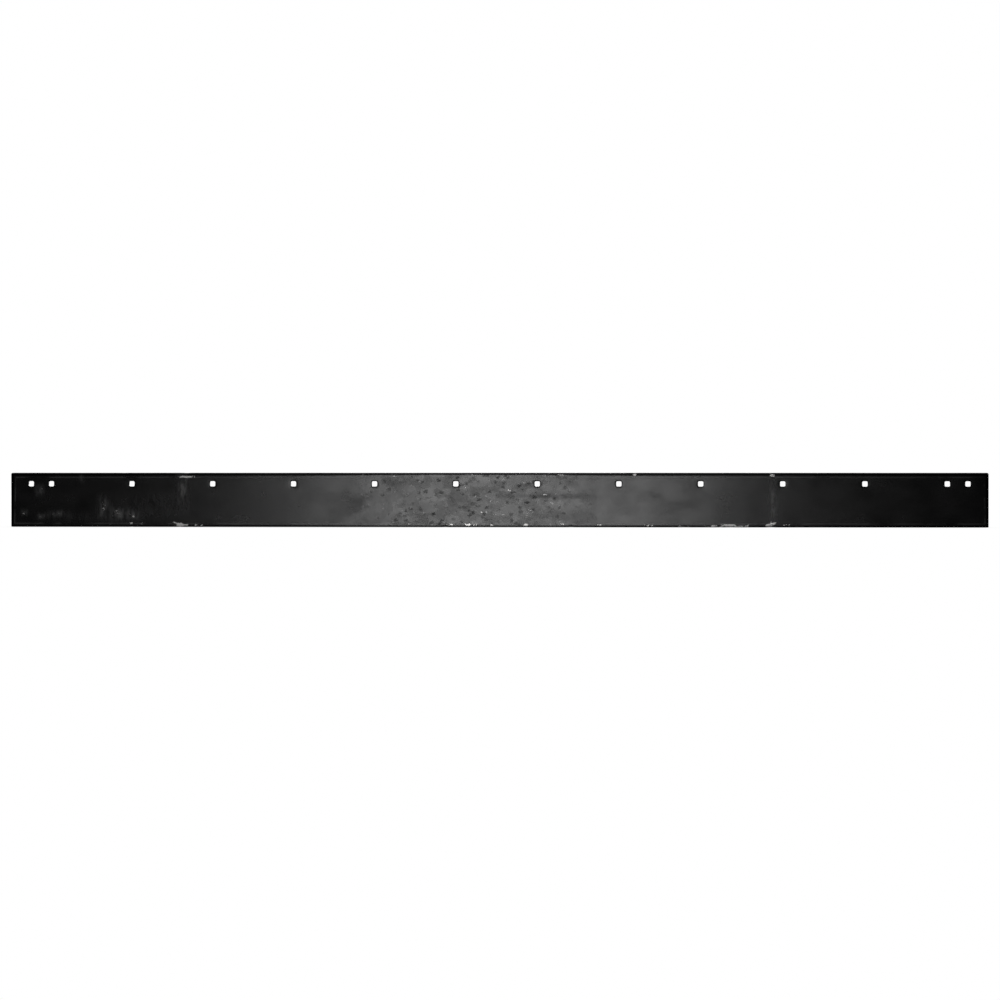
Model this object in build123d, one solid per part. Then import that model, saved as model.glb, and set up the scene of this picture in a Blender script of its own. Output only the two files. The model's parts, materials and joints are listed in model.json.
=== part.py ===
from build123d import *
import os

# Replaceable wear bar (cutting edge) for a utility-vehicle snow plow blade.
#
# One flat steel bar that bolts along the foot of the plow's curved blade and takes the scraping.
# Millimetres. +Z is up, from the scraping edge to the bolt holes, +X runs along the bar, and -Y is
# the front, where the bolt heads sit. The origin is the middle of the scraping edge, at half the
# bar's thickness.

INCH = 25.4

# The bar is cut from hot-rolled flat stock.
LENGTH = 72 * INCH
HEIGHT = 4 * INCH
THICKNESS = INCH / 4
MILL_CORNER = 1.2  # radius that rolling leaves along the four long corners
TOP_CORNER = INCH / 8  # the two upper ends are eased so that they don't snag
FOOT_CORNER = 1.5  # the two lower ends are only deburred

# The ends are sheared from the front: rolled-over lip, burnished band, then a break that leans in.
SHEAR_LIP = 0.7
SHEAR_BAND = 0.35 * THICKNESS
SHEAR_LEAN = 0.4

# Square holes take the square necks of 3/8 inch carriage bolts, so that one spanner does up each nut.
HOLE_SIDE = 25 / 64 * INCH
HOLE_CORNER = 2.5  # the punch's corners are well rounded
HOLE_DROP = 13 / 16 * INCH  # from the top edge to the line of holes
HOLE_PITCH = 6 * INCH
PITCHED_HOLES = 12
END_HOLE_STEP = 1.5 * INCH  # one more hole outside each end of the pitched row

# The holes are punched from the front, so each one has a rounded mouth and breaks out wider at the back.
PUNCH_LIP = 0.4
PUNCH_LAND = 0.45 * THICKNESS
BREAKOUT_ANGLE = 5.0

FRONT = -THICKNESS / 2
BACK = THICKNESS / 2
HOLE_HEIGHT = HEIGHT - HOLE_DROP


def hole_places():
    """Where each bolt hole is along the bar, from left to right."""
    last = HOLE_PITCH * (PITCHED_HOLES - 1) / 2
    pitched = [HOLE_PITCH * i - last for i in range(PITCHED_HOLES)]
    return [-last - END_HOLE_STEP, *pitched, last + END_HOLE_STEP]


def rolled_section():
    """The flat stock: its rolled section, run along the whole length."""
    section = RectangleRounded(THICKNESS, HEIGHT, MILL_CORNER)
    place = Plane(origin=(0, 0, HEIGHT / 2), x_dir=(0, 1, 0), z_dir=(1, 0, 0))
    return extrude(place * section, amount=LENGTH / 2, both=True)


def end_outline():
    """The bar seen from the front: square ends with eased upper and deburred lower corners."""
    outline = Rectangle(LENGTH, HEIGHT)
    upper = outline.vertices().filter_by(lambda v: v.Y > 0)
    outline = fillet(upper, TOP_CORNER)
    lower = outline.vertices().filter_by(lambda v: v.Y < -HEIGHT / 2 + TOP_CORNER)
    outline = fillet(lower, FOOT_CORNER)
    place = Plane(origin=(0, 0, HEIGHT / 2), x_dir=(1, 0, 0), z_dir=(0, -1, 0))
    return extrude(place * outline, amount=THICKNESS, both=True)


def sheared_plan():
    """The bar seen from above: each end has the lip, band and lean that shearing leaves."""
    end = LENGTH / 2
    right_end = [
        Line((0, FRONT), (end - SHEAR_LIP, FRONT)),
        TangentArc((end - SHEAR_LIP, FRONT), (end, FRONT + SHEAR_LIP), tangent=(1, 0)),
        Line((end, FRONT + SHEAR_LIP), (end, FRONT + SHEAR_BAND)),
        Line((end, FRONT + SHEAR_BAND), (end - SHEAR_LEAN, BACK)),
        Line((end - SHEAR_LEAN, BACK), (0, BACK)),
    ]
    half = Curve() + right_end
    plan = make_face(half + mirror(half, about=Plane.YZ))
    return extrude(plan, amount=HEIGHT)


def punched_hole(x):
    """The slug that one punch stroke takes out: a straight land, then a wider break at the back."""
    side = RectangleRounded(HOLE_SIDE, HOLE_SIDE, HOLE_CORNER)
    mouth = Plane(origin=(x, FRONT, HOLE_HEIGHT), x_dir=(1, 0, 0), z_dir=(0, 1, 0))
    land = extrude(mouth * side, amount=PUNCH_LAND)
    deep = mouth.offset(PUNCH_LAND)
    breakout = extrude(deep * side, amount=THICKNESS - PUNCH_LAND, taper=-BREAKOUT_ANGLE)
    return land + breakout


def round_the_mouths(bar):
    """Rounds the front rim of every hole, where the punch drew the surface in."""
    front_face = bar.faces().sort_by(Axis.Y)[0]
    rims = [edge for wire in front_face.inner_wires() for edge in wire.edges()]
    return bar.fillet(PUNCH_LIP, rims)


def wear_bar():
    """The finished bar."""
    blank = rolled_section() & end_outline() & sheared_plan()
    bar = blank - [punched_hole(x) for x in hole_places()]
    return round_the_mouths(bar.solid())


os.makedirs("parts", exist_ok=True)
export_step(wear_bar(), "parts/wear_bar.step")
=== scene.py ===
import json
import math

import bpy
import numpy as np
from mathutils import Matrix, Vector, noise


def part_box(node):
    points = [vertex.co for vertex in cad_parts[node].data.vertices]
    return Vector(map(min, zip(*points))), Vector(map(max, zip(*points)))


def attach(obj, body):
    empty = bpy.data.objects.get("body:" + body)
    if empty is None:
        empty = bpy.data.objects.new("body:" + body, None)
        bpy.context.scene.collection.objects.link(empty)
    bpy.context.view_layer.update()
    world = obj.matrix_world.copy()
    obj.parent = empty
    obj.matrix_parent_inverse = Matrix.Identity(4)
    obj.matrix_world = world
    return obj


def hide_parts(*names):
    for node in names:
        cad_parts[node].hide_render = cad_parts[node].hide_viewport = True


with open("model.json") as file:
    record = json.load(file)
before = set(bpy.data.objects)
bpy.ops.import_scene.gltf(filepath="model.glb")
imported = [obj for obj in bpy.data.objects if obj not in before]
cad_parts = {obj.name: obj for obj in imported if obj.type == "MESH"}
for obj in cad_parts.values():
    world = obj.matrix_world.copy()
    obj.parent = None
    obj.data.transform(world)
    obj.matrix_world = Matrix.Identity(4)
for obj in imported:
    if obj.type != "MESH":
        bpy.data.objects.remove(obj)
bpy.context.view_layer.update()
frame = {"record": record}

# Wear bar of a small snow plow, as a fine mesh with its mill marks, punched holes and knocks, on a plain
# white stage. Metres. X runs along the bar, -Y is its front and Z is up.
# Its two flat sides are grids of quads with the holes left out. Bands of quads join them over the outer
# edges and through the holes. Masks stored in the mesh tell the material where paint is worn or dark, and
# where shade and a highlight line are painted near the edges and holes.

MM = 0.001
NODE = "wear_bar"
LOW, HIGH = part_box(NODE)
LENGTH, THICKNESS, HEIGHT = HIGH - LOW
CENTRE = (LOW + HIGH) / 2
FRONT, BACK = LOW.y, HIGH.y
BOLT_HOLES = [m["pos_m"] for m in frame["record"]["mounts"] if m["name"].startswith("bolt_hole")]
HOLE_X = [place[0] for place in BOLT_HOLES]
HOLE_Z = BOLT_HOLES[0][2]

# Edges, as in the CAD model.
MILL_CORNER = 1.2 * MM  # radius that rolling leaves along the four long corners
TOP_CORNER = 3.2 * MM
FOOT_CORNER = 1.5 * MM
SHEAR_LIP = 0.7 * MM
SHEAR_BAND = 0.35 * THICKNESS
SHEAR_LEAN = 0.4 * MM

# Square punched holes, as in the CAD model.
HOLE_HALF = 4.96 * MM
HOLE_CORNER = 2.5 * MM
PUNCH_LIP = 0.4 * MM
PUNCH_LAND = 0.45 * THICKNESS
BREAKOUT = 0.3 * MM  # how much wider the hole is at the back, on each side
HOLE_BLOCK = 9.3 * MM  # half the side of the square of mesh that belongs to each hole

# How far apart the grid lines of the flat sides are, and how quickly that grows, for each metre away from
# a strap's mark, an end or a long edge.
COARSE = 4.8 * MM
FINE = 2.3 * MM
FINE_REACH = 0.24  # to each side of the middle of the scale
STRAP_FINE = 1.2 * MM
EDGE_FINE = 0.45 * MM
ROW = 2.9 * MM
STRAP_GROWTH = 0.15
END_GROWTH = 0.35
EDGE_GROWTH = 0.16
GRADING_STEPS = 600  # how finely that is summed along each run of lines

# Grid lines across a hole's corner, as shares of its radius, and outside the hole, from its side.
CORNER_SHARES = (0.0, 0.4, 0.75)
OUTER_STEPS = (0.6 * MM, 1.8 * MM)
TINY = 1e-9

# Steps of the arcs that round the rolled edges, and of those at a sheared end and at a hole's mouth.
ROLL_STEPS = 4
LIP_STEPS = 3

# How far the flat sides fall off towards the outer edges and, where the punch entered, towards the holes.
EDGE_DROP = 0.32 * MM
EDGE_REACH = 4.6 * MM
PUNCH_DROP = 0.22 * MM
PUNCH_REACH = 1.7 * MM
BACK_RISE = 0.2  # how much of that drop stands up round the holes at the back

# Slight waves of the whole surface, and the rougher scale.
WAVE_HEIGHT = 0.11 * MM
WAVE_SIZE = 55 * MM
WAVE_STRETCH = 1.4
SCALE_HEIGHT = 0.02 * MM
SCALE_SIZE = 8 * MM
SCALE_STRETCH = 1.5
SHARP_ANGLE = math.radians(42)  # edges bent more than this look sharp

# How much narrower the rim's painted shade is at the foot, and where scale shows.
FOOT_NARROWS = 2.4 * MM
SCALE_NARROWS = 1.9 * MM

# The zone where scale shows through the paint, and how quickly it fades out on each side.
SCALE_MIDDLE = -0.02
SCALE_LEFT_FADE = 0.25
SCALE_RIGHT_FADE = 0.20

# Two steel straps held the bar in its bundle and rubbed it.
STRAPS = (-0.584, 0.512)
BACK_LAYER = 0.2 * THICKNESS  # the part of the thickness that takes the back's marks


# ---------------------------------------------------------------- stations of the mesh

def graded(start, stop, size_at):
    """Stations from start to stop, as far apart at each place as size_at says."""
    fine = np.linspace(start, stop, GRADING_STEPS)
    wanted = 1 / size_at(fine)
    amount = np.concatenate(([0.0], np.cumsum((wanted[1:] + wanted[:-1]) / 2 * np.diff(fine))))
    count = max(1, int(round(amount[-1])))
    return np.interp(np.linspace(0, amount[-1], count + 1), amount, fine)


def column_size(x):
    """How far apart columns are: close at the ends, at the strap marks and in the scaled zone."""
    size = np.where(np.abs(x - SCALE_MIDDLE) < FINE_REACH, FINE, COARSE)
    for strap in STRAPS:
        size = np.minimum(size, STRAP_FINE + STRAP_GROWTH * np.abs(x - strap))
    to_end = LENGTH / 2 - MILL_CORNER - np.abs(x - CENTRE.x)
    return np.minimum(size, EDGE_FINE + END_GROWTH * np.maximum(to_end, 0))


def row_size(z):
    """How far apart rows are: close along both long edges."""
    to_edge = HEIGHT / 2 - MILL_CORNER - np.abs(z - CENTRE.z)
    return np.minimum(ROW, EDGE_FINE + EDGE_GROWTH * np.maximum(to_edge, 0))


def hole_lines():
    """Grid lines through one hole's block, from its middle: close across each corner, then wider apart."""
    straight = HOLE_HALF - HOLE_CORNER
    inside = [straight + share * HOLE_CORNER for share in CORNER_SHARES]
    outside = [HOLE_HALF + step for step in OUTER_STEPS]
    side = np.array([*inside, HOLE_HALF, *outside, HOLE_BLOCK])
    return np.concatenate((-side[::-1], [0.0], side))


def stations(start, stop, blocks, size_at):
    """Grid lines from start to stop, with a hole's own lines at each block."""
    lines = [start]
    for middle in blocks:
        lines += list(graded(lines[-1], middle - HOLE_BLOCK, size_at))[1:-1]
        lines += list(middle + hole_lines())
    return np.array(lines + list(graded(lines[-1], stop, size_at))[1:])


COLUMNS = stations(LOW.x + MILL_CORNER, HIGH.x - MILL_CORNER, HOLE_X, column_size)
ROWS = stations(LOW.z + MILL_CORNER, HIGH.z - MILL_CORNER, [HOLE_Z], row_size)


# ---------------------------------------------------------------- the flat sheets

def onto_arc(past):
    """Points of a square corner, from its arc's centre, moved so that its outer sides form the arc."""
    reach = past.max(axis=-1, keepdims=True)
    return past * reach / np.linalg.norm(past, axis=-1, keepdims=True)


def round_outline(points):
    """Rounds the four corners of a sheet: larger radii at the top, smaller at the foot."""
    for sign_x in (-1, 1):
        for sign_z, corner in ((1, TOP_CORNER), (-1, FOOT_CORNER)):
            sign = np.array([sign_x, sign_z])
            half = np.array([LENGTH, HEIGHT]) / 2
            centre = np.array([CENTRE.x, CENTRE.z]) + sign * (half - corner)
            past = (points - centre) * sign
            inside = (past > 0).all(axis=-1)
            points[inside] = centre + onto_arc(past[inside]) * sign


def round_hole(points, middle, mouth):
    """Bends the square of mesh round one hole so that its inner border is a rounded square, mouth wide."""
    centre = np.array([middle, HOLE_Z])
    local = points - centre
    reach = np.abs(local).max(axis=-1)
    block = (reach < HOLE_BLOCK - TINY) & (reach > HOLE_HALF - TINY)
    ring, out = local[block], reach[block]

    # Square rings, widened to the mouth at the hole and left alone at the block's border.
    share = (out - HOLE_HALF) / (HOLE_BLOCK - HOLE_HALF)
    new_reach = mouth + share * (HOLE_BLOCK - mouth)
    ring = ring * (new_reach / out)[:, None]

    # Their corners are rounded, fully at the hole and not at all at the block's border.
    radius = (HOLE_CORNER + mouth - HOLE_HALF) * (1 - share)
    straight = (new_reach - radius)[:, None]
    past = np.abs(ring) - straight
    corner = (past > 0).all(axis=-1)
    sign = np.where(ring < 0, -1, 1)
    ring[corner] = (straight[corner] + onto_arc(past[corner])) * sign[corner]
    points[block] = ring + centre


def sheet(mouth):
    """The grid of one flat side as (column, row, 2) places in X and Z."""
    points = np.stack(np.meshgrid(COLUMNS, ROWS, indexing="ij"), axis=-1)
    round_outline(points)
    for middle in HOLE_X:
        round_hole(points, middle, mouth)
    return points


def index_of(lines, place):
    """The grid line at that place."""
    return int(np.abs(lines - place).argmin())


def hole_span(middle):
    """The first and last column and row of the lines that border one hole."""
    return (index_of(COLUMNS, middle - HOLE_HALF), index_of(COLUMNS, middle + HOLE_HALF),
            index_of(ROWS, HOLE_Z - HOLE_HALF), index_of(ROWS, HOLE_Z + HOLE_HALF))


def around(left, right, bottom, top):
    """Grid places round a rectangle of lines, anticlockwise seen from the front."""
    return ([(i, bottom) for i in range(left, right)] + [(right, j) for j in range(bottom, top)]
            + [(i, top) for i in range(right, left, -1)] + [(left, j) for j in range(top, bottom, -1)])


# ---------------------------------------------------------------- edges and hole walls

def arc(centre, radius, start, stop, count):
    """Points of an arc as (outward, depth) pairs, angles in degrees, without the first one."""
    angles = np.radians(np.linspace(start, stop, count + 1)[1:])
    return [(centre[0] + radius * math.cos(a), centre[1] + radius * math.sin(a)) for a in angles]


def rolled_profile():
    """From the front sheet's border to the back one's over a long edge, as (outward, Y) pairs."""
    r = MILL_CORNER
    return np.array(
        [(0, FRONT)] + arc((0, FRONT + r), r, -90, 0, ROLL_STEPS)
        + [(r, 0), (r, BACK - r)] + arc((0, BACK - r), r, 0, 90, ROLL_STEPS))


def sheared_profile():
    """The same over a sheared end: rounded lip, straight band, then a break that leans in. It has as many
    points as the rolled one, so that the two blend at the corners."""
    r, edge = SHEAR_LIP, MILL_CORNER
    middle = (FRONT + SHEAR_BAND + BACK) / 2
    return np.array(
        [(0, FRONT), (edge - r, FRONT)] + arc((edge - r, FRONT + r), r, -90, 0, LIP_STEPS)
        + [(edge, FRONT + SHEAR_BAND), (edge - SHEAR_LEAN / 2, middle)]
        + [(edge - SHEAR_LEAN, BACK), (0.6 * edge, BACK), (0.3 * edge, BACK), (0, BACK)])


def hole_profile():
    """From the front mouth to the back one over a hole's wall, as (into the opening, Y) pairs."""
    r = PUNCH_LIP
    land = FRONT + PUNCH_LAND
    middle = (land + BACK) / 2
    return np.array(
        [(0, FRONT)] + arc((0, FRONT + r), r, -90, 0, LIP_STEPS)
        + [(r, land), (r - BREAKOUT / 2, middle), (r - BREAKOUT, BACK)])


def loop_normals(loop):
    """The direction across a closed loop at each point, to its right as it is walked."""
    along = np.roll(loop, -1, axis=0) - np.roll(loop, 1, axis=0)
    along /= np.linalg.norm(along, axis=1, keepdims=True)
    return np.stack((along[:, 1], -along[:, 0]), axis=1)


class Shell:
    """Collects the vertices and quads of the bar."""

    def __init__(self):
        self.places = []
        self.quads = []
        self.count = 0

    def add(self, places):
        """Adds vertices and gives their numbers."""
        self.places.append(places.reshape(-1, 3))
        first = self.count
        self.count += places.size // 3
        return np.arange(first, self.count).reshape(places.shape[:-1])

    def add_sheet(self, points, y, flip):
        """One flat side: its grid with the holes left out."""
        numbers = self.add(np.insert(points, 1, y, axis=-1))
        keep = np.ones((len(COLUMNS) - 1, len(ROWS) - 1), bool)
        for middle in HOLE_X:
            left, right, bottom, top = hole_span(middle)
            keep[left:right, bottom:top] = False
        corners = [numbers[:-1, :-1], numbers[1:, :-1], numbers[1:, 1:], numbers[:-1, 1:]]
        quads = np.stack([c[keep] for c in corners], axis=-1)
        self.quads.append(quads[:, ::-1] if flip else quads)
        return numbers

    def add_band(self, front_loop, back_loop, places):
        """Quads from the front loop over rows of new places to the back loop."""
        rows = [front_loop, *(self.add(row) for row in places), back_loop]
        for near, far in zip(rows, rows[1:]):
            self.quads.append(np.stack((near, far, np.roll(far, -1), np.roll(near, -1)), axis=-1))

    def mesh(self, name):
        """The finished mesh, without the vertices that no quad uses."""
        quads = np.concatenate(self.quads)
        used, quads = np.unique(quads, return_inverse=True)
        mesh = bpy.data.meshes.new(name)
        mesh.from_pydata(np.concatenate(self.places)[used].tolist(), [], quads.reshape(-1, 4).tolist())
        return mesh


def swept(loop, across, profile):
    """Rows of places along a loop: each profile point's outward part goes across the loop."""
    rows = []
    for outward, y in profile:
        flat = loop + across * np.reshape(outward, (-1, 1))
        rows.append(np.stack((flat[:, 0], np.broadcast_to(y, len(flat)), flat[:, 1]), axis=-1))
    return rows


def build_bar():
    """The whole bar as one closed mesh of quads."""
    shell = Shell()
    front, back = sheet(HOLE_HALF + PUNCH_LIP), sheet(HOLE_HALF + BREAKOUT)
    front_numbers = shell.add_sheet(front, FRONT, flip=False)
    back_numbers = shell.add_sheet(back, BACK, flip=True)

    rim = tuple(np.transpose(around(0, len(COLUMNS) - 1, 0, len(ROWS) - 1)))
    across = loop_normals(front[rim])
    endness = (across[:, 0] ** 2)[:, None, None]
    profiles = (1 - endness) * rolled_profile() + endness * sheared_profile()
    inner = profiles[:, 1:-1].transpose(1, 2, 0)
    shell.add_band(front_numbers[rim], back_numbers[rim], swept(front[rim], across, inner))

    for middle in HOLE_X:
        edge = tuple(np.transpose(around(*hole_span(middle))[::-1]))
        inward = loop_normals(front[edge])
        shell.add_band(front_numbers[edge], back_numbers[edge],
                       swept(front[edge], inward, hole_profile()[1:-1]))
    return shell.mesh(NODE)


# ---------------------------------------------------------------- marks of making and handling

# Each mark is its middle (X, Z) and its half length and half height, all in millimetres, then its strength.
# Bare steel along the top edge: at the left strap, in a few touches between, and at the right strap.
TOP_MARKS = [
    (-668, 99, 12, 2, 0.6), (-652, 93, 2, 2, 0.7), (-635, 92, 3, 3, 0.7), (-594, 94, 7, 1.6, 0.9),
    (-580, 94.2, 11, 1.7, 1.6), (-102, 95, 9, 2, 0.6), (29, 96, 6, 2, 0.6), (94, 98, 6, 2, 0.7),
    (120, 97.5, 7, 2, 0.8), (258, 99, 3.5, 3.5, 1.3), (514, 96.8, 5.5, 2.8, 1.3)]
# Bare steel along the foot: the same straps, with more touches where the bar stood on others.
FOOT_MARKS = [
    (-725, 5, 7, 2, 0.6), (-711, 5, 4, 2, 0.7), (-687, 7, 4, 2.4, 1.1), (-669, 7, 3, 2.2, 1.1),
    (-604, 7.5, 6, 2, 0.8), (-596, 5, 6, 3.4, 1.5), (-587, 4, 7, 2, 0.8), (-560, 4, 20, 2, 0.6),
    (-165, 6, 5, 2, 0.8), (-88, 4.5, 10, 2.6, 0.9), (-48, 5, 17, 3.4, 0.92), (-9, 4, 5, 2.4, 1.0),
    (55, 4.7, 4.5, 3, 1.5), (122, 6, 6, 2, 0.9), (192, 5, 12, 2, 0.7), (286, 3, 12, 2, 0.8),
    (350, 2, 26, 2, 0.7), (404, 2, 14, 2.6, 1.0), (432, 3, 12, 3.6, 1.15), (458, 2, 14, 3, 1.05),
    (506, 4.2, 5.5, 3, 1.6), (516, 7, 5, 4, 1.0), (540, 5, 10, 2, 0.7)]
# Small bare spots on the face.
FACE_MARKS = [
    (-889, 27, 4, 4, 0.55), (-856, 20, 6, 3, 0.65), (-825, 25, 12, 4, 0.55), (-740, 36, 5, 14, 0.68),
    (-714, 26, 10, 10, 0.66), (-685, 22, 9, 8, 0.66), (-860, 70, 7, 8, 0.5), (-30, 30, 5, 5, 0.6),
    (60, 24, 9, 7, 0.6), (20, 70, 8, 6, 0.55), (-60, 74, 5, 5, 0.55)]
# A pale dusty film: under both straps, round the spots near the left end, and two wide faint veils.
FILM_MARKS = [
    (-590, 74, 8, 22, 1.1), (515, 42, 6, 36, 0.7), (-861, 70, 7, 9, 0.8), (-781, 93, 4, 8, 0.4),
    (-740, 36, 7, 15, 1.1), (-712, 25, 12, 11, 1.1), (-685, 22, 10, 8, 0.9), (-825, 25, 13, 5, 0.7),
    (-856, 20, 8, 4, 0.8), (-889, 27, 5, 5, 0.7), (-780, 18, 60, 10, 0.12), (-640, 40, 60, 30, 0.12)]
# Darker paint: a long streak right of the middle, and clouds.
DARK_MARKS = [
    (82, 58, 88, 4, 1.5), (183, 60, 5, 13, 0.6), (-252, 48, 22, 16, 0.6), (-232, 30, 20, 10, 0.4),
    (-135, 36, 18, 10, 0.5), (238, 62, 16, 10, 0.35), (-396, 60, 12, 8, 0.3)]
# Bare steel and film on the back, mostly where the straps went round.
BACK_MARKS = [
    (-588, 93, 15, 2.4, 1.2), (-586, 4, 13, 2.6, 1.0), (510, 97, 9, 2.6, 1.1), (512, 5, 13, 3.2, 1.1),
    (-250, 3, 60, 2, 0.6), (-170, 45, 9, 12, 0.6), (60, 97, 40, 2, 0.6), (240, 30, 12, 7, 0.6),
    (690, 4, 50, 2, 0.6), (760, 60, 7, 14, 0.6), (-760, 96, 36, 2, 0.6)]
BACK_FILM = [
    (-586, 40, 9, 40, 0.9), (512, 50, 8, 44, 0.9), (-160, 50, 60, 22, 0.2), (255, 28, 40, 16, 0.3),
    (750, 62, 24, 20, 0.45), (-820, 40, 34, 16, 0.3)]

# Knocks in the long edges, in millimetres: middle (X, Z), half length and depth. All are equally high.
KNOCKS = [
    (-582, 101.6, 6, 0.35), (511, 0, 7, 0.4), (55, 0, 3, 0.45), (-96, 0, 4, 0.3), (-597, 0, 5, 0.35),
    (140, 0, 5, 0.3), (436, 0, 8, 0.3), (416, 0, 4, 0.3), (258, 101.6, 3, 0.3), (-700, 101.6, 5, 0.2),
    (-686, 0, 3, 0.3), (350, 0, 4, 0.25)]
KNOCK_HALF_HEIGHT = 3


def spread(places, marks):
    """How strongly each place is marked: the sum of soft, squarish spots."""
    total = np.zeros(len(places))
    for x, z, half_length, half_height, strength in marks:
        along = (places[:, 0] / MM - x) / half_length
        across = (places[:, 2] / MM - z) / half_height
        total += strength * np.exp(-(along ** 4 + across ** 4) ** 0.5)
    return total


def scale_share(places):
    """How much scale shows at each place: most near the middle, none towards the ends."""
    from_middle = places[:, 0] - SCALE_MIDDLE
    fade = np.where(from_middle < 0, SCALE_LEFT_FADE, SCALE_RIGHT_FADE)
    return np.exp(-(from_middle / fade) ** 4)


def inside_outline(places):
    """Distance from each place to the nearest side of the bar's outline, seen from the front."""
    flat = places[:, [0, 2]]
    half = np.array([LENGTH, HEIGHT]) / 2
    return np.maximum((half - np.abs(flat - np.array([CENTRE.x, CENTRE.z]))).min(axis=1), 0)


def inside_rim(places):
    """The same, with more added near the foot and where scale shows, to narrow the rim's painted shade
    there.
    """
    from_top = (HIGH.z - places[:, 2]) / HEIGHT
    return inside_outline(places) + FOOT_NARROWS * from_top + SCALE_NARROWS * scale_share(places)


def outside_holes(places):
    """Distance from each place to the nearest hole's edge, seen from the front."""
    nearest = np.full(len(places), HEIGHT)
    for middle in HOLE_X:
        past = np.abs(places[:, [0, 2]] - np.array([middle, HOLE_Z])) - (HOLE_HALF - HOLE_CORNER)
        out = np.linalg.norm(np.maximum(past, 0), axis=1) - HOLE_CORNER
        nearest = np.minimum(nearest, out)
    return np.maximum(nearest, 0)


def rolling_noise(places, size, stretch=1.0, octaves=1):
    """Smooth noise from about -1 to 1 with features of that size, longer along the bar by stretch."""
    scaled = places / (np.array([stretch, 1, 1]) * size)
    steepness, refining = 1.0, 2.0  # each octave is twice as fine as the last one and half as strong
    return np.array([noise.fractal(p, steepness, refining, octaves) for p in scaled])


def relief(places, flatness):
    """How far the surface stands out at each place: waves, scale, rolled-off edges, punching, knocks."""
    height = WAVE_HEIGHT * rolling_noise(places, WAVE_SIZE, WAVE_STRETCH)
    height += SCALE_HEIGHT * scale_share(places) * rolling_noise(places, SCALE_SIZE, SCALE_STRETCH, 2)
    to_edge = inside_outline(places)
    height -= flatness * EDGE_DROP * np.clip(1 - to_edge / EDGE_REACH, 0, 1) ** 2
    to_hole = outside_holes(places)
    drop = np.where(places[:, 1] < 0, PUNCH_DROP, -BACK_RISE * PUNCH_DROP)
    height -= flatness * drop * np.exp(-to_hole / PUNCH_REACH)
    for x, z, half_length, depth in KNOCKS:
        along = (places[:, 0] / MM - x) / half_length
        across = (places[:, 2] / MM - z) / KNOCK_HALF_HEIGHT
        height -= depth * MM * np.exp(-(along ** 2 + across ** 2))
    return height


def add_mask(mesh, name, values):
    """Stores one number for each vertex, for the material to read."""
    layer = mesh.attributes.new(name, "FLOAT", "POINT")
    layer.data.foreach_set("value", values.astype(np.float32))


def vertex_array(mesh, what, field):
    """A (count, 3) array of one field of every vertex."""
    values = np.empty(len(mesh.vertices) * 3)
    getattr(mesh, what).foreach_get(field, values)
    return values.reshape(-1, 3)


def add_masks(mesh, places, flatness, endness):
    """All masks that the material reads. The edges take the front's marks."""
    front = places[:, 1] < BACK - BACK_LAYER
    front_marks = TOP_MARKS + FOOT_MARKS + FACE_MARKS
    add_mask(mesh, "bare", np.where(front, spread(places, front_marks), spread(places, BACK_MARKS)))
    add_mask(mesh, "film", np.where(front, spread(places, FILM_MARKS), spread(places, BACK_FILM)))
    add_mask(mesh, "dark", spread(places, DARK_MARKS) * front)
    add_mask(mesh, "scale", scale_share(places))
    add_mask(mesh, "flat", flatness)
    # Distances from the rim and the holes, for the painted shade there and the painted highlight line.
    add_mask(mesh, "rim_mm", inside_rim(places) / MM)
    add_mask(mesh, "hole_mm", outside_holes(places) / MM)
    add_mask(mesh, "sheared", endness * (inside_outline(places) < MM))


def wear_bar():
    """The bar with its relief, its masks and its material, riding on the CAD body."""
    mesh = build_bar()
    places = vertex_array(mesh, "vertices", "co")
    normals = vertex_array(mesh, "vertex_normals", "vector")
    endness, flatness = normals[:, 0] ** 2, normals[:, 1] ** 2
    add_masks(mesh, places, flatness, endness)
    places += normals * relief(places, flatness)[:, None]
    mesh.vertices.foreach_set("co", places.ravel())
    mesh.update()
    mesh.polygons.foreach_set("use_smooth", np.ones(len(mesh.polygons), bool))
    mesh.set_sharp_from_angle(angle=SHARP_ANGLE)
    bar = bpy.data.objects.new("wear_bar_visual", mesh)
    bpy.context.scene.collection.objects.link(bar)
    mesh.materials.append(black_steel())
    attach(bar, "root")
    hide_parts(NODE)


# ---------------------------------------------------------------- material

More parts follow.
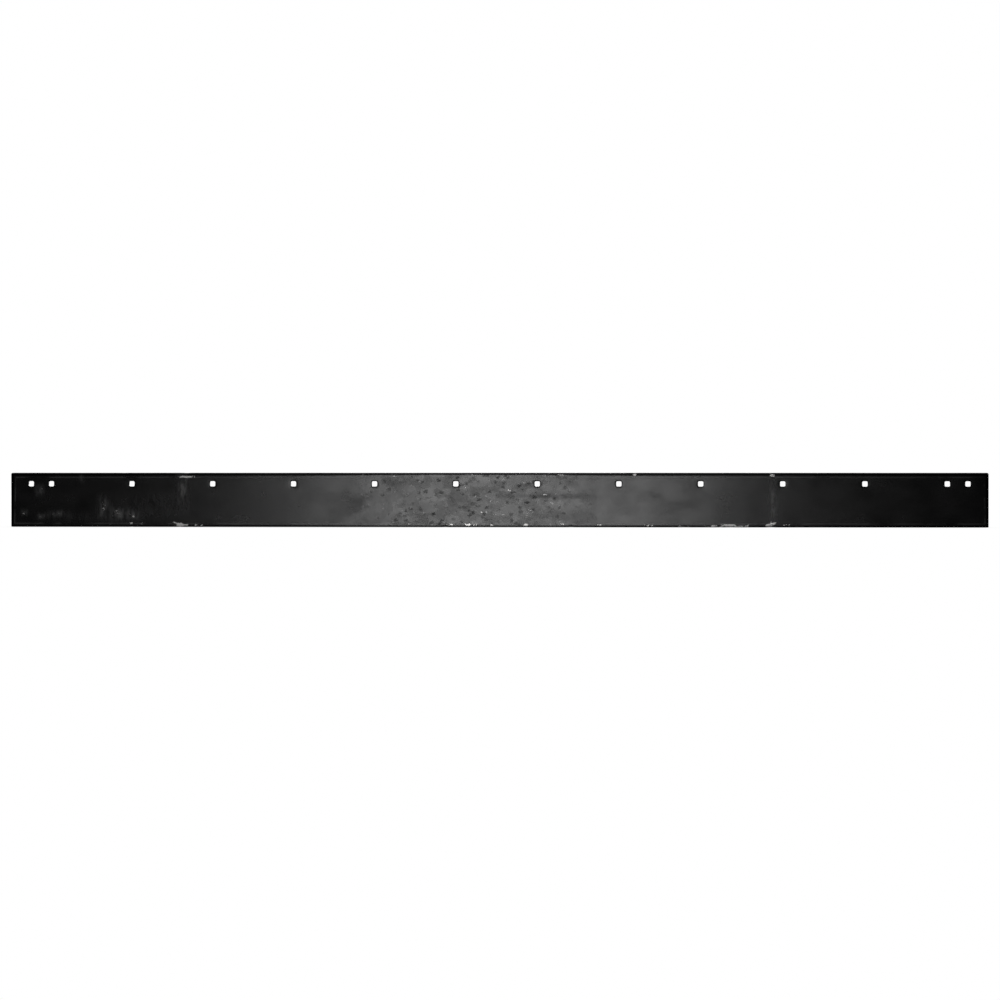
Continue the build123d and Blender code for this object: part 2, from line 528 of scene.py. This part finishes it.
class Graph:
    """One material's nodes, added and linked in reading order."""

    def __init__(self, name):
        self.material = bpy.data.materials.new(name)
        self.material.use_nodes = True
        self.nodes = self.material.node_tree.nodes
        self.links = self.material.node_tree.links
        self.nodes.clear()

    def add(self, kind, inputs=(), **settings):
        """A node of that kind with its settings; each input is a socket to link or a value."""
        node = self.nodes.new("ShaderNode" + kind)
        for key, value in settings.items():
            setattr(node, key, value)
        for key, value in dict(inputs).items():
            if isinstance(value, bpy.types.NodeSocket):
                self.links.new(value, node.inputs[key])
            else:
                node.inputs[key].default_value = value
        return node

    def mask(self, name):
        """One of the mesh's masks."""
        return self.add("Attribute", attribute_name=name).outputs["Fac"]

    def stretched(self, size, stretch, shift):
        """Object coordinates measured in steps of size metres, longer along the bar by stretch."""
        place = self.add("TexCoord").outputs["Object"]
        return self.add("Mapping", {
            "Vector": place, "Location": (shift, shift, shift),
            "Scale": (1 / (size * stretch), 1 / size, 1 / size)}).outputs["Vector"]

    def noise(self, size, stretch=1.0, detail=2.0, roughness=0.5, shift=0.0):
        """Noise from 0 to 1 with features of that size in metres."""
        return self.add("TexNoise", {
            "Vector": self.stretched(size, stretch, shift), "Scale": 1.0, "Detail": detail,
            "Roughness": roughness}).outputs["Fac"]

    def spots(self, size, reach, share, stretch=1.0, shift=0.0):
        """Ragged spots, at most one in each cell of that size: 1 in their middles, 0 past reach cells away.
        Only about that share of the cells holds one."""
        place = self.stretched(size, stretch, shift)
        wander = self.add("TexNoise", {"Vector": place, "Scale": 3.0, "Detail": 3.0}).outputs["Color"]
        bent = self.add("VectorMath", {0: place, 1: wander}, operation="ADD").outputs["Vector"]
        cells = self.add("TexVoronoi", {"Vector": bent, "Scale": 1.0, "Randomness": 1.0})
        border = 0.04
        chosen = self.scaled(cells.outputs["Color"], 1 - share - border, 1 - share + border)
        return self.times(self.scaled(cells.outputs["Distance"], reach, 0.4 * reach), chosen)

    def maths(self, operation, first, second):
        """The result of one operation on two numbers."""
        return self.add("Math", {0: first, 1: second}, operation=operation).outputs["Value"]

    def times(self, first, second):
        """Two numbers multiplied."""
        return self.maths("MULTIPLY", first, second)

    def plus(self, first, second):
        """Two numbers added."""
        return self.maths("ADD", first, second)

    def larger(self, first, second):
        """The larger of two numbers."""
        return self.maths("MAXIMUM", first, second)

    def plus_shares(self, start, parts):
        """A number with shares of others added to it, given as pairs of a number and its share."""
        for value, share in parts:
            start = self.plus(start, self.times(value, share))
        return start

    def scaled(self, value, low, high, to_low=0.0, to_high=1.0):
        """The value smoothly stretched from one range to another, and held at its ends."""
        return self.add("MapRange", {
            "Value": value, "From Min": low, "From Max": high, "To Min": to_low, "To Max": to_high},
            interpolation_type="SMOOTHSTEP").outputs["Result"]

    def mix(self, factor, first, second):
        """Two colours mixed. The node has sockets of one name for each type, so they go by number here."""
        return self.add("Mix", {0: factor, 6: first, 7: second}, data_type="RGBA").outputs[2]


# Colours, as linear light.
THIN_PAINT = (0.004, 0.004, 0.0041, 1)
THICK_PAINT = (0.007, 0.007, 0.0072, 1)
FLAKE_GREY = (0.016, 0.016, 0.0165, 1)
GLINT_GREY = (0.30, 0.30, 0.30, 1)
# Grey of the dust, and also of the pale line painted as a highlight.
DUST_AND_HIGHLIGHT_GREY = (0.36, 0.36, 0.36, 1)
BARE_STEEL = (0.62, 0.61, 0.60, 1)

# How much of each is seen where it is strongest.
DUST_SHARE = 0.4
# The line's share is for the pale line painted as a highlight.
HIGHLIGHT_LINE_SHARE = 0.12
# The rim's share is painted shade.
RIM_SHADE_SHARE = 0.93
STAIN_SHARE = 0.2
DARK_SHARE = 0.36

# Roughness of the glossiest and the dullest paint.
GLOSSY = 0.224
DULL = 0.268

# Height of the finest relief, which the material adds to the mesh's own.
BUMP_HEIGHT = 0.1 * MM
BUMP_STRENGTH = 0.6


def scale_marks(g, scale):
    """Where scale flakes, where it has pits and where bright specks glint in it."""
    flaking = g.noise(15 * MM, stretch=1.5, detail=3, roughness=0.52, shift=5.9)
    flakes = g.times(g.scaled(flaking, 0.45, 0.55), scale)
    thick = g.maths("POWER", scale, 2.5)
    crowds = g.noise(40 * MM, stretch=1.2, detail=2, roughness=0.5, shift=17.1)
    crowded = g.scaled(crowds, 0.38, 0.60, 0.15, 1.0)
    pits = g.spots(9 * MM, reach=0.44, share=0.6, stretch=1.3, shift=11.7)
    glints = g.spots(12 * MM, reach=0.20, share=0.4, stretch=1.1, shift=23.4)
    return flakes, g.times(pits, g.times(thick, crowded)), g.times(glints, thick)


def bare_patches(g, grain):
    """Where paint is rubbed off, with ragged borders."""
    rubbed = g.mask("bare")
    tatters = g.noise(5 * MM, stretch=1.4, detail=5, roughness=0.65, shift=2.7)
    ragged = g.plus_shares(g.times(tatters, 0.75), [(grain, 0.25)])
    worn = g.plus(g.times(rubbed, 0.22), ragged)
    return g.times(g.scaled(worn, 0.66, 0.71), g.scaled(rubbed, 0.15, 0.35))


def painted_rim_shade(g, inward):
    """Painted shade near the outer edges and round the holes, where the sides roll off: the paint reflects
    less there.
    """
    flat = g.scaled(g.mask("flat"), 0.4, 0.9)
    outer_rim = g.times(g.scaled(inward, 6.6, 4.9), flat)
    hole_rim = g.scaled(g.mask("hole_mm"), 2.8, 1.2)
    return g.times(g.larger(outer_rim, hole_rim), RIM_SHADE_SHARE)


def painted_highlight_line(g, inward, clouds):
    """A thin, broken, pale line painted just inside the rim as a highlight."""
    band = g.times(g.scaled(inward, 7.2, 8.2), g.scaled(inward, 10.4, 9.4))
    return g.times(g.times(band, g.scaled(clouds, 0.38, 0.54)), HIGHLIGHT_LINE_SHARE)


def dusty_film(g):
    """Dust in upright streaks."""
    streaks = g.noise(20 * MM, stretch=0.35, detail=5, roughness=0.6, shift=1.3)
    streaks = g.scaled(streaks, 0.34, 0.66, 0.15, 1.0)
    return g.times(g.times(g.mask("film"), streaks), DUST_SHARE)


def darkening(g):
    """Where paint reflects less: broad stains and the dark marks."""
    stains = g.noise(44 * MM, stretch=1.4, detail=4, roughness=0.55, shift=8.8)
    stains = g.scaled(stains, 0.50, 0.66)
    return g.plus_shares(g.times(stains, STAIN_SHARE), [(g.mask("dark"), DARK_SHARE)])


def black_steel():
    """Thin black paint over mill scale, rubbed through where the straps and other bars touched it."""
    g = Graph("black_steel")
    scale, inward = g.mask("scale"), g.mask("rim_mm")
    clouds = g.noise(34 * MM, stretch=1.5, detail=3)
    grain = g.noise(1.5 * MM, stretch=1.3, detail=3, roughness=0.6, shift=3.1)
    mottle = g.noise(9 * MM, stretch=1.3, detail=4, roughness=0.6, shift=7.3)
    mottle = g.times(g.maths("SUBTRACT", mottle, 0.5), g.scaled(scale, 0.0, 1.0, 0.25, 1.0))
    flakes, pits, glints = scale_marks(g, scale)
    bare = bare_patches(g, grain)
    # Painted shade along the outer edges and round the holes.
    rim = painted_rim_shade(g, inward)

    paint = g.mix(clouds, THIN_PAINT, THICK_PAINT)
    paint = g.mix(flakes, paint, FLAKE_GREY)
    paint = g.mix(glints, paint, GLINT_GREY)
    paint = g.mix(dusty_film(g), paint, DUST_AND_HIGHLIGHT_GREY)
    # A pale line painted just inside the rim as a highlight.
    paint = g.mix(painted_highlight_line(g, inward, clouds), paint, DUST_AND_HIGHLIGHT_GREY)
    colour = g.mix(bare, paint, BARE_STEEL)

    rough = g.plus_shares(g.scaled(clouds, 0.3, 0.7, GLOSSY, DULL), [
        (mottle, 0.05), (flakes, -0.032), (pits, 0.14), (glints, -0.03),
        (grain, 0.012), (rim, 0.03), (bare, 0.10)])
    tears = g.noise(1.1 * MM, stretch=3.0, detail=3, roughness=0.6, shift=4.2)
    tears = g.times(tears, g.mask("sheared"))
    height = g.plus_shares(g.times(flakes, 0.12), [
        (grain, 0.10), (pits, -0.8), (bare, -0.4), (tears, 0.8)])
    bump = g.add("Bump", {"Height": height, "Strength": BUMP_STRENGTH, "Distance": BUMP_HEIGHT})

    # Metal of the paint's own colour mirrors almost nothing, which is what paints shade on the rim and
    # darkens the stains.
    metallic = g.larger(bare, g.larger(rim, darkening(g)))
    shader = g.add("BsdfPrincipled", {
        "Base Color": colour, "Metallic": metallic, "Roughness": rough,
        "Normal": bump.outputs["Normal"], "IOR": 1.5})
    g.add("OutputMaterial", {"Surface": shader.outputs["BSDF"]})
    return g.material


# ---------------------------------------------------------------- stage, lights and camera

# The camera: its distance in metres, its direction in degrees and the point that it looks at.
CAMERA_AWAY = 7.0
CAMERA_AZIMUTH = 3.1
CAMERA_ELEVATION = 0.5
CAMERA_AIM = CENTRE + Vector((6.4 * MM, 0, 0))
SHOWN_WIDTH = 1.0220 * LENGTH  # how much of the bar's plane the picture spans
FAR_LIMIT = 100

FLOOR_SIZE = 60
SHADOW_REACH = 0.14  # how far the floor's painted shadow reaches from the bar
SHADOW_LIGHT = 0.5  # how light it is at its darkest
SHADOW_SAMPLES = 24
WORLD_LIGHT = 0.01  # how much the white background lights the bar

# Softboxes: name, azimuth, elevation and distance from the bar's middle, width, height, then watts.
SOFTBOXES = [
    ("key", -2.5, -0.2, 2.6, 0.92, 0.35, 7.0),
    ("overhead", 0, 88, 2.6, 3.0, 1.6, 20),
    ("low_left", -48, -28, 2.4, 1.2, 0.6, 6),
    ("high_right", 46, 16, 2.6, 1.2, 0.4, 0.5),
    ("right_end", 88, 5, 2.6, 0.8, 0.8, 6),
    ("low_behind", 135, -14, 2.6, 1.4, 0.6, 14),
    ("high_behind", -135, 25, 2.6, 1.4, 0.6, 4),
    ("behind", 178, 8, 3.0, 1.2, 0.6, 18),
]


def direction(azimuth, elevation):
    """The way from the bar towards that azimuth and elevation; azimuth 0 is its front."""
    a, e = math.radians(azimuth), math.radians(elevation)
    return Vector((math.sin(a) * math.cos(e), -math.cos(a) * math.cos(e), math.sin(e)))


def add_camera():
    """The camera, nearly level with the bar and a little to its right."""
    camera = bpy.data.objects.new("camera", bpy.data.cameras.new("camera"))
    bpy.context.scene.collection.objects.link(camera)
    towards = direction(CAMERA_AZIMUTH, CAMERA_ELEVATION)
    camera.location = CAMERA_AIM + CAMERA_AWAY * towards
    camera.rotation_euler = (-towards).to_track_quat("-Z", "Y").to_euler()
    camera.data.lens = camera.data.sensor_width * CAMERA_AWAY / SHOWN_WIDTH
    camera.data.clip_end = FAR_LIMIT
    bpy.context.scene.camera = camera


def add_softbox(name, azimuth, elevation, away, width, height, power):
    """A rectangular soft light that faces the bar and isn't seen itself."""
    light = bpy.data.lights.new(name, "AREA")
    light.shape = "RECTANGLE"
    light.size = width
    light.size_y = height
    light.energy = power
    softbox = bpy.data.objects.new(name, light)
    bpy.context.scene.collection.objects.link(softbox)
    towards = direction(azimuth, elevation)
    softbox.location = CENTRE + away * towards
    softbox.rotation_euler = (-towards).to_track_quat("-Z", "Y").to_euler()
    softbox.visible_camera = False


def add_floor():
    """A plain pale floor that glows, dimmed near the bar by ambient occlusion as a painted shadow. It isn't
    mirrored in the bar, so that the upright face stays dark.
    """
    bpy.ops.mesh.primitive_plane_add(size=FLOOR_SIZE, location=(CENTRE.x, CENTRE.y, LOW.z))
    floor = bpy.context.object
    floor.name = "floor"
    g = Graph("floor")
    openness = g.add("AmbientOcclusion", {"Distance": SHADOW_REACH}, samples=SHADOW_SAMPLES)
    # Painted shadow: the glow is dimmed where the bar is close.
    light = g.scaled(openness.outputs["AO"], 0.0, 1.0, SHADOW_LIGHT, 1.0)
    glow = g.add("Emission", {"Strength": light}).outputs["Emission"]
    g.add("OutputMaterial", {"Surface": glow})
    floor.data.materials.append(g.material)
    floor.visible_glossy = False
    floor.visible_diffuse = False
    floor.visible_shadow = False


def add_world():
    """A white background that lights the bar only dimly."""
    world = bpy.data.worlds.new("studio")
    world.use_nodes = True
    bpy.context.scene.world = world
    nodes, links = world.node_tree.nodes, world.node_tree.links
    background = nodes["Background"]
    path = nodes.new("ShaderNodeLightPath")
    strength = nodes.new("ShaderNodeMapRange")
    strength.inputs["To Min"].default_value = WORLD_LIGHT
    strength.inputs["To Max"].default_value = 1.0
    links.new(path.outputs["Is Camera Ray"], strength.inputs["Value"])
    background.inputs["Color"].default_value = (1, 1, 1, 1)
    links.new(strength.outputs["Result"], background.inputs["Strength"])


bpy.context.scene.view_settings.view_transform = "Standard"
add_camera()
add_world()
add_floor()
for softbox in SOFTBOXES:
    add_softbox(*softbox)
wear_bar()
